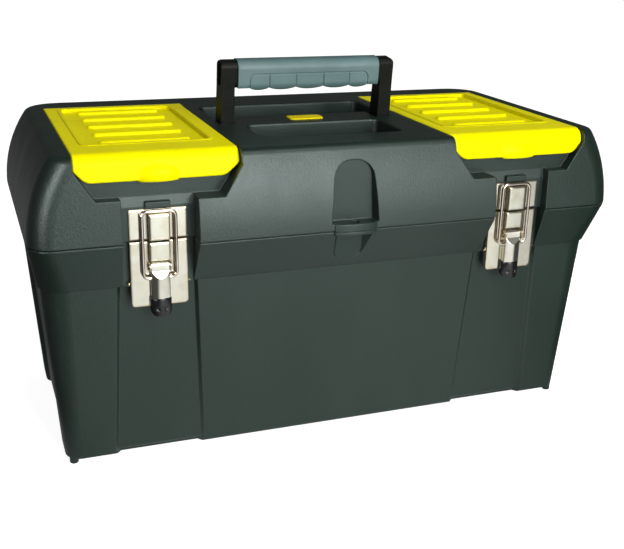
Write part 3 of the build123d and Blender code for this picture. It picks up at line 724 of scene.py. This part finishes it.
    @classmethod
    def shade(cls, piece: bpy.types.Object, angle: float) -> None:
        """Shades a piece smooth, except over edges sharper than an angle in degrees."""
        cls.activate(piece)
        bpy.ops.object.shade_smooth_by_angle(angle=math.radians(angle))


@dataclass
class DrawLatch:
    """Sculpted lever and tip of one draw latch, in place of the plain solids."""

    side: Side
    crest: float = 0.0006
    head_drop: float = 0.0022
    head_height: float = 0.0062
    facet_height: float = 0.0056
    head_round: float = 0.002
    head_steps: int = 6
    shoulder: float = 0.0002
    sheet: float = 0.0011
    hollow_depth: float = 0.0031
    edge: float = 0.00022
    tip_radius: float = 0.0096
    tip_round: float = 0.005
    tip_steps: int = 8
    tip_edge: float = 0.0009
    dimple_place: float = 0.0036
    dimple_drop: float = 0.0082
    dimple_radius: float = 0.0019
    facet_angle: float = 12.0
    tip_angle: float = 40.0

    def build(self, wardrobe: Wardrobe) -> None:
        """Builds, dresses and seats both pieces.

        Args:
            wardrobe: The finishes.
        """
        pieces = {"lever": (self.lever(), Slot.LEVER), "tip": (self.tip(), Slot.TIP)}
        for name, (piece, slot) in pieces.items():
            wardrobe.dress(piece, slot)
            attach(piece, f"lever_{self.side.value}")
            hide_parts(f"latch_{self.side.value}_{name}")
            LOG.info("%s: %d faces", piece.name, len(piece.data.polygons))

    def lever(self) -> bpy.types.Object:
        """Flat head over the pin, a half-moon facet and a crowned body.

        Returns:
            The lever.
        """
        low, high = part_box(f"latch_{self.side.value}_lever")
        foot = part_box(f"latch_{self.side.value}_tip")[1].z
        crest = low.y - self.crest
        face = crest + self.head_drop
        corner = Vector((low.x, face, foot))
        lever = Bench.block(f"lever_sculpted_{self.side.value}", corner, high)
        top = high.z - Bench.HAIR
        Bench.round_edges(
            lever, lambda a, b: min(a.z, b.z) > top and a.y == b.y, self.head_round, self.head_steps
        )
        Bench.combine(lever, self.crown(low, high, foot, crest, face), "UNION")
        Bench.hollow(lever, self.sheet, self.hollow_depth)
        Bench.finish(lever, self.edge)
        Bench.shade(lever, self.facet_angle)
        return lever

    def crown(
        self, low: Vector, high: Vector, foot: float, crest: float, face: float
    ) -> bpy.types.Object:
        """Crowned body whose upper end is cut off at a slope.

        Args:
            low: Lowest corner of the lever's solid.
            high: Highest corner of it.
            foot: Height of its lower end.
            crest: Y of the crown's ridge.
            face: Y of the flat head.

        Returns:
            The crown, a tool for the lever's union.
        """
        half = (high.x - low.x) / 2 - self.shoulder
        rise = face - crest
        radius = (half**2 + rise**2) / (2 * rise)
        top = high.z - self.head_height
        centre = Vector(((low.x + high.x) / 2, crest + radius, foot))
        crown = Bench.column("crown", centre, radius, top - foot)
        Bench.cut(crown, Vector((0.0, face + self.sheet / 2, 0.0)), Vector((0.0, 1.0, 0.0)))
        slope = Vector((0.0, -self.facet_height, rise)).normalized()
        Bench.cut(crown, Vector((0.0, face, top)), slope)
        return crown

    def tip(self) -> bpy.types.Object:
        """Bucket-shaped thumb tip with two dimples.

        Returns:
            The tip.
        """
        low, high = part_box(f"latch_{self.side.value}_tip")
        tip = Bench.block(f"tip_sculpted_{self.side.value}", low, high)
        foot = low.z + Bench.HAIR
        Bench.round_edges(
            tip, lambda a, b: max(a.z, b.z) < foot and a.x == b.x, self.tip_round, self.tip_steps
        )
        middle = (low.x + high.x) / 2
        centre = Vector((middle, low.y + self.tip_radius, low.z - self.tip_round))
        height = high.z - low.z + 2 * self.tip_round
        Bench.combine(tip, Bench.column("round", centre, self.tip_radius, height), "INTERSECT")
        Bench.finish(tip, self.tip_edge)
        for place in (-self.dimple_place, self.dimple_place):
            depth = self.tip_radius - math.sqrt(self.tip_radius**2 - place**2)
            front = low.y + depth - self.dimple_radius / 2
            spot = Vector((middle + place, front, high.z - self.dimple_drop))
            Bench.combine(tip, Bench.ball("dimple", spot, self.dimple_radius), "DIFFERENCE")
        Bench.shade(tip, self.tip_angle)
        return tip


@dataclass(frozen=True)
class Flag:
    """Dark cloth beside the set: what lies past it in a direction lights the case less."""

    towards: Triple
    start: float
    end: float

    def mask(self, board: NodeBoard, output: str) -> Value:
        """0 before the flag's start and 1 past its end.

        Args:
            board: Where the nodes go.
            output: Texture coordinate that is measured.

        Returns:
            The mask.
        """
        there = board.node("ShaderNodeTexCoord", {}, {}, output)
        along = board.dot(there, self.towards)
        inputs = {"Value": along, "From Min": self.start, "From Max": self.end}
        return board.node("ShaderNodeMapRange", {"interpolation_type": "SMOOTHSTEP"}, inputs)


@dataclass(frozen=True)
class Lamp:
    """Soft rectangular lamp that faces the case."""

    name: str
    place: Triple
    size: tuple[float, float]
    power: float
    sheen_only: bool = False
    target: Triple = (0.0, 0.0, 0.13)

    def hang(self) -> None:
        """Adds the lamp to the set; a sheen-only one shows in reflections alone."""
        light = bpy.data.lights.new(self.name, "AREA")
        light.shape = "RECTANGLE"
        light.size, light.size_y = self.size
        light.energy = self.power
        holder = bpy.data.objects.new(self.name, light)
        bpy.context.scene.collection.objects.link(holder)
        holder.visible_diffuse = not self.sheen_only
        holder.location = self.place
        aim = Vector(self.target) - Vector(self.place)
        holder.rotation_euler = aim.to_track_quat("-Z", "Y").to_euler()


@dataclass
class Studio:
    """Pale floor, white surround, soft lamps and the camera."""

    floor_size: float = 8.0
    floor_colour: Colour = (0.62, 0.62, 0.62)
    floor_lift: float = 0.88
    floor_glow: float = 0.4
    ambient: float = 0.26
    flag_depth: float = 0.92
    sky_flags: tuple[Flag, ...] = (
        Flag((-1.0, 0.0, 0.0), 0.1, 0.6),
        Flag((1.0, 0.0, 0.0), 0.32, 0.62),
        Flag((0.0, 1.0, 0.0), -0.35, 0.2),
        Flag((0.0, 0.0, 1.0), 0.15, 0.45),
    )
    floor_flags: tuple[Flag, ...] = (
        Flag((-1.0, 0.0, 0.0), 0.14, 0.32),
        Flag((1.0, 0.6, 0.0), 0.03, 0.27),
    )
    rear_gap: Flag = Flag((0.0, 1.0, 0.0), 0.2, 0.5)
    rear_share: float = 0.28
    lamps: tuple[Lamp, ...] = (
        Lamp("key", (0.38, -1.85, 0.74), (0.8, 1.15), 36.0),
        Lamp("left", (-1.35, -1.25, 0.66), (0.22, 0.9), 24.0, sheen_only=True),
        Lamp("top", (0.3, -0.95, 1.75), (1.1, 0.7), 9.0),
    )
    camera_place: Triple = (-0.28466, -0.79706, 0.40724)
    yaw: float = math.radians(20.504)
    pitch: float = math.radians(-19.505)
    roll: float = math.radians(1.28)
    focal_pixels: float = 973.64
    image_width: float = 624.0
    sensor: float = 36.0

    def build(self) -> None:
        """Sets up everything that isn't the object."""
        bpy.context.scene.view_settings.view_transform = "Standard"
        self.build_world()
        self.build_floor()
        for lamp in self.lamps:
            lamp.hang()
        self.build_camera()

    @staticmethod
    def rays(board: NodeBoard) -> tuple[Value, Value]:
        """Masks of the camera's own rays and of all rays that show the background."""
        kinds = ("Is Camera Ray", "Is Glossy Ray", "Is Transmission Ray")
        camera, glossy, through = [
            board.node("ShaderNodeLightPath", {}, {}, kind) for kind in kinds
        ]
        return camera, camera.at_least(glossy).at_least(through)

    def shade(self, board: NodeBoard, output: str, flags: tuple[Flag, ...]) -> Value:
        """How much the flags darken a ray or a point of the floor, from 0 to the flags' depth."""
        masks = [flag.mask(board, output) for flag in flags]
        return reduce(Value.at_least, masks) * self.flag_depth

    def build_world(self) -> None:
        """White surround at the ambient level, with flags above, behind and beside it."""
        world = bpy.data.worlds.new("surround")
        bpy.context.scene.world = world
        board = NodeBoard(world)
        camera, seen = self.rays(board)
        flag = self.shade(board, "Generated", self.sky_flags)
        strength = (1.0 - seen) * self.ambient + seen * (1.0 - flag * (1.0 - camera))
        inputs = {"Color": (*WHITE, 1.0), "Strength": strength}
        shown = board.node("ShaderNodeBackground", {}, inputs)
        board.close("ShaderNodeOutputWorld", shown)

    def build_floor(self) -> None:
        """Pale floor that shows white and keeps the shadow."""
        bpy.ops.object.select_all(action="DESELECT")
        bpy.ops.mesh.primitive_plane_add(size=self.floor_size)
        floor = bpy.context.object
        floor.name = "floor"
        board = NodeBoard(bpy.data.materials.new("floor_paper"))
        camera, seen = self.rays(board)
        flagged = self.shade(board, "Object", self.floor_flags)
        opened = self.rear_gap.mask(board, "Object") * self.rear_share
        flag = (1.0 - camera) * flagged * (1.0 - opened)
        lift = camera * self.floor_lift + (seen - camera) * (1.0 - flag) * self.floor_glow
        paper = board.surface(
            {
                "Base Color": board.blend(flag, self.floor_colour, BLACK),
                "Roughness": 1.0,
                "Specular IOR Level": 0.0,
                "Emission Color": board.blend(lift, BLACK, WHITE),
                "Emission Strength": 1.0,
            }
        )
        floor.data.materials.append(paper)

    def build_camera(self) -> None:
        """Camera at the photograph's view."""
        camera = bpy.data.cameras.new("camera")
        camera.sensor_fit = "HORIZONTAL"
        camera.sensor_width = self.sensor
        camera.lens = self.sensor * self.focal_pixels / self.image_width
        holder = bpy.data.objects.new("camera", camera)
        bpy.context.scene.collection.objects.link(holder)
        level = Vector((math.sin(self.yaw), math.cos(self.yaw), 0.0)) * math.cos(self.pitch)
        ahead = level + Vector((0.0, 0.0, math.sin(self.pitch)))
        across = Vector((math.cos(self.yaw), -math.sin(self.yaw), 0.0))
        above = across.cross(ahead)
        right = across * math.cos(self.roll) + above * math.sin(self.roll)
        up = above * math.cos(self.roll) - across * math.sin(self.roll)
        turned = Matrix((right, up, -ahead)).transposed().to_4x4()
        holder.matrix_world = Matrix.Translation(self.camera_place) @ turned
        bpy.context.scene.camera = holder


def main() -> None:
    """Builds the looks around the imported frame."""
    logging.basicConfig(level=logging.INFO, format="%(name)s: %(message)s")
    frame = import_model()
    wardrobe = Wardrobe()
    wardrobe.dress_frame(frame["nodes"])
    for side in Side:
        DrawLatch(side).build(wardrobe)
    Studio().build()


if __name__ == "__main__":
    main()
